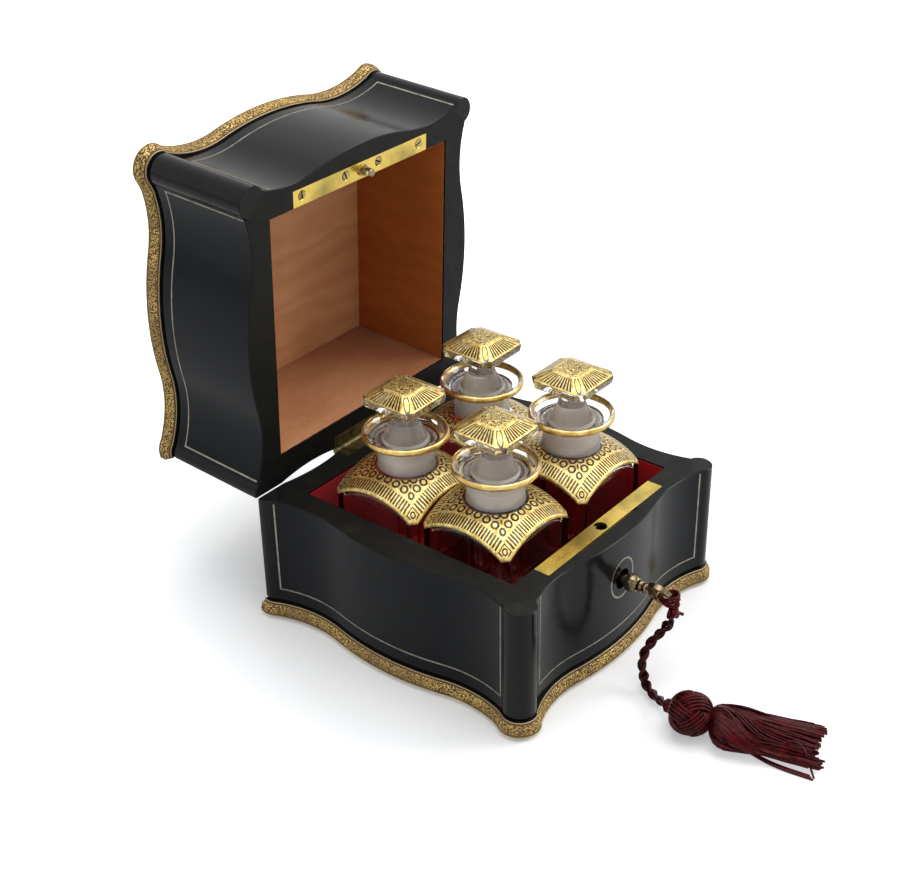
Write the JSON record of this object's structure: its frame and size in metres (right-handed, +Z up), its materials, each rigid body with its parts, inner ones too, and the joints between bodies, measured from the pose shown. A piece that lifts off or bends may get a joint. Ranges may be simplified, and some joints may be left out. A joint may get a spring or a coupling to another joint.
{
  "type": "perfume casket",
  "caption": "Serpentine ebonised casket with a hinged lid, gilt stringing and mouldings, holding square scent bottles with ground stoppers, and a lock, key and tassel.",
  "frame": {"origin": "centre of the underside of the bottom board, on the table", "axes": "+Z up, -Y towards the front, where the lock is, +X to the right seen from the front"},
  "size_m": [0.135, 0.2768, 0.1872],
  "materials": {
    "ebonised_wood": "glossy black polish",
    "dark_rosewood": "polished dark brown",
    "dark_edge_wood": "dull dark stain",
    "gilt_moulding": "pressed and worn gilt leaf",
    "brass_string": "pale brushed brass",
    "plate_brass": "polished yellow brass",
    "screw_brass": "slotted brass",
    "lock_steel": "dull steel",
    "key_bronze": "brown bronze",
    "red_lining": "dark red velvet paper",
    "moire_silk": "salmon moire silk",
    "clear_glass": "clear glass with gilding",
    "burgundy_silk": "burgundy silk thread"
  },
  "bodies": {
    "casket": {"bottom_board": "dark_edge_wood", "base_wall_front": "ebonised_wood", "base_wall_back": "ebonised_wood", "base_wall_left": "ebonised_wood", "base_wall_right": "ebonised_wood", "base_columns": "dark_rosewood", "plinth_moulding_front": "gilt_moulding", "plinth_moulding_back": "gilt_moulding", "plinth_moulding_left": "gilt_moulding", "plinth_moulding_right": "gilt_moulding", "base_stringing": "brass_string", "keyhole_ring": "brass_string", "lock_plate": "plate_brass", "hinge_leaf_case": "plate_brass", "hinge_pin": "plate_brass", "hinge_screws_case": "screw_brass", "lock_case": "lock_steel", "lock_drill_pin": "lock_steel", "well_floor_pad": "red_lining", "well_lining_front": "red_lining", "well_lining_back": "red_lining", "well_lining_left": "red_lining", "well_lining_right": "red_lining"},
    "lid": {"lid_top_board": "ebonised_wood", "lid_wall_front": "ebonised_wood", "lid_wall_back": "ebonised_wood", "lid_wall_left": "ebonised_wood", "lid_wall_right": "ebonised_wood", "lid_columns": "dark_rosewood", "lid_moulding_front": "gilt_moulding", "lid_moulding_back": "gilt_moulding", "lid_moulding_left": "gilt_moulding", "lid_moulding_right": "gilt_moulding", "lid_stringing": "brass_string", "silk_top": "moire_silk", "silk_front": "moire_silk", "silk_back": "moire_silk", "silk_left": "moire_silk", "silk_right": "moire_silk", "link_plate": "plate_brass", "link_plate_screws": "screw_brass", "catch_stud": "plate_brass", "hinge_leaf_lid": "plate_brass", "hinge_screws_lid": "screw_brass"},
    "bolt": {"lock_bolt": "lock_steel"},
    "key": {"key": "key_bronze", "key_loop": "burgundy_silk"},
    "tassel": {"tassel_cord": "burgundy_silk", "tassel_ball": "burgundy_silk", "tassel_skirt": "burgundy_silk"},
    "bottle_front_left": {"bottle_front_left": "clear_glass"},
    "stopper_front_left": {"stopper_front_left": "clear_glass"},
    "bottle_front_right": {"bottle_front_right": "clear_glass"},
    "stopper_front_right": {"stopper_front_right": "clear_glass"},
    "bottle_back_left": {"bottle_back_left": "clear_glass"},
    "stopper_back_left": {"stopper_back_left": "clear_glass"},
    "bottle_back_right": {"bottle_back_right": "clear_glass"},
    "stopper_back_right": {"stopper_back_right": "clear_glass"}
  },
  "joints": [
    {"name": "lid_hinge", "type": "hinge", "parent": "casket", "child": "lid", "pos_m": [0, 0.0629, 0.0544], "axis": [-1, 0, 0], "range_deg": [-87.7, 0]},
    {"name": "key_withdraw", "type": "slide", "parent": "casket", "child": "tassel", "axis": [0, -1, 0], "range_m": [0, 0.04]},
    {"name": "key_turn", "type": "hinge", "parent": "tassel", "child": "key", "pos_m": [0, -0.06, 0.0356], "axis": [0, -1, 0], "range_deg": [-60, 0]},
    {"name": "lock_bolt_slide", "type": "slide", "parent": "casket", "child": "bolt", "axis": [-1, 0, 0], "range_m": [-0.0036, 0]},
    {"name": "bottle_front_left_lift", "type": "slide", "parent": "casket", "child": "bottle_front_left", "axis": [0, 0, 1], "range_m": [0, 0.1]},
    {"name": "stopper_front_left_lift", "type": "slide", "parent": "bottle_front_left", "child": "stopper_front_left", "axis": [0, 0, 1], "range_m": [0, 0.03]},
    {"name": "bottle_front_right_lift", "type": "slide", "parent": "casket", "child": "bottle_front_right", "axis": [0, 0, 1], "range_m": [0, 0.1]},
    {"name": "stopper_front_right_lift", "type": "slide", "parent": "bottle_front_right", "child": "stopper_front_right", "axis": [0, 0, 1], "range_m": [0, 0.03]},
    {"name": "bottle_back_left_lift", "type": "slide", "parent": "casket", "child": "bottle_back_left", "axis": [0, 0, 1], "range_m": [0, 0.1]},
    {"name": "stopper_back_left_lift", "type": "slide", "parent": "bottle_back_left", "child": "stopper_back_left", "axis": [0, 0, 1], "range_m": [0, 0.03]},
    {"name": "bottle_back_right_lift", "type": "slide", "parent": "casket", "child": "bottle_back_right", "axis": [0, 0, 1], "range_m": [0, 0.1]},
    {"name": "stopper_back_right_lift", "type": "slide", "parent": "bottle_back_right", "child": "stopper_back_right", "axis": [0, 0, 1], "range_m": [0, 0.03]}
  ],
  "couplings": [
    {"joint": "key_turn", "follows": "lock_bolt_slide", "rad_per_m": 290.88}
  ]
}
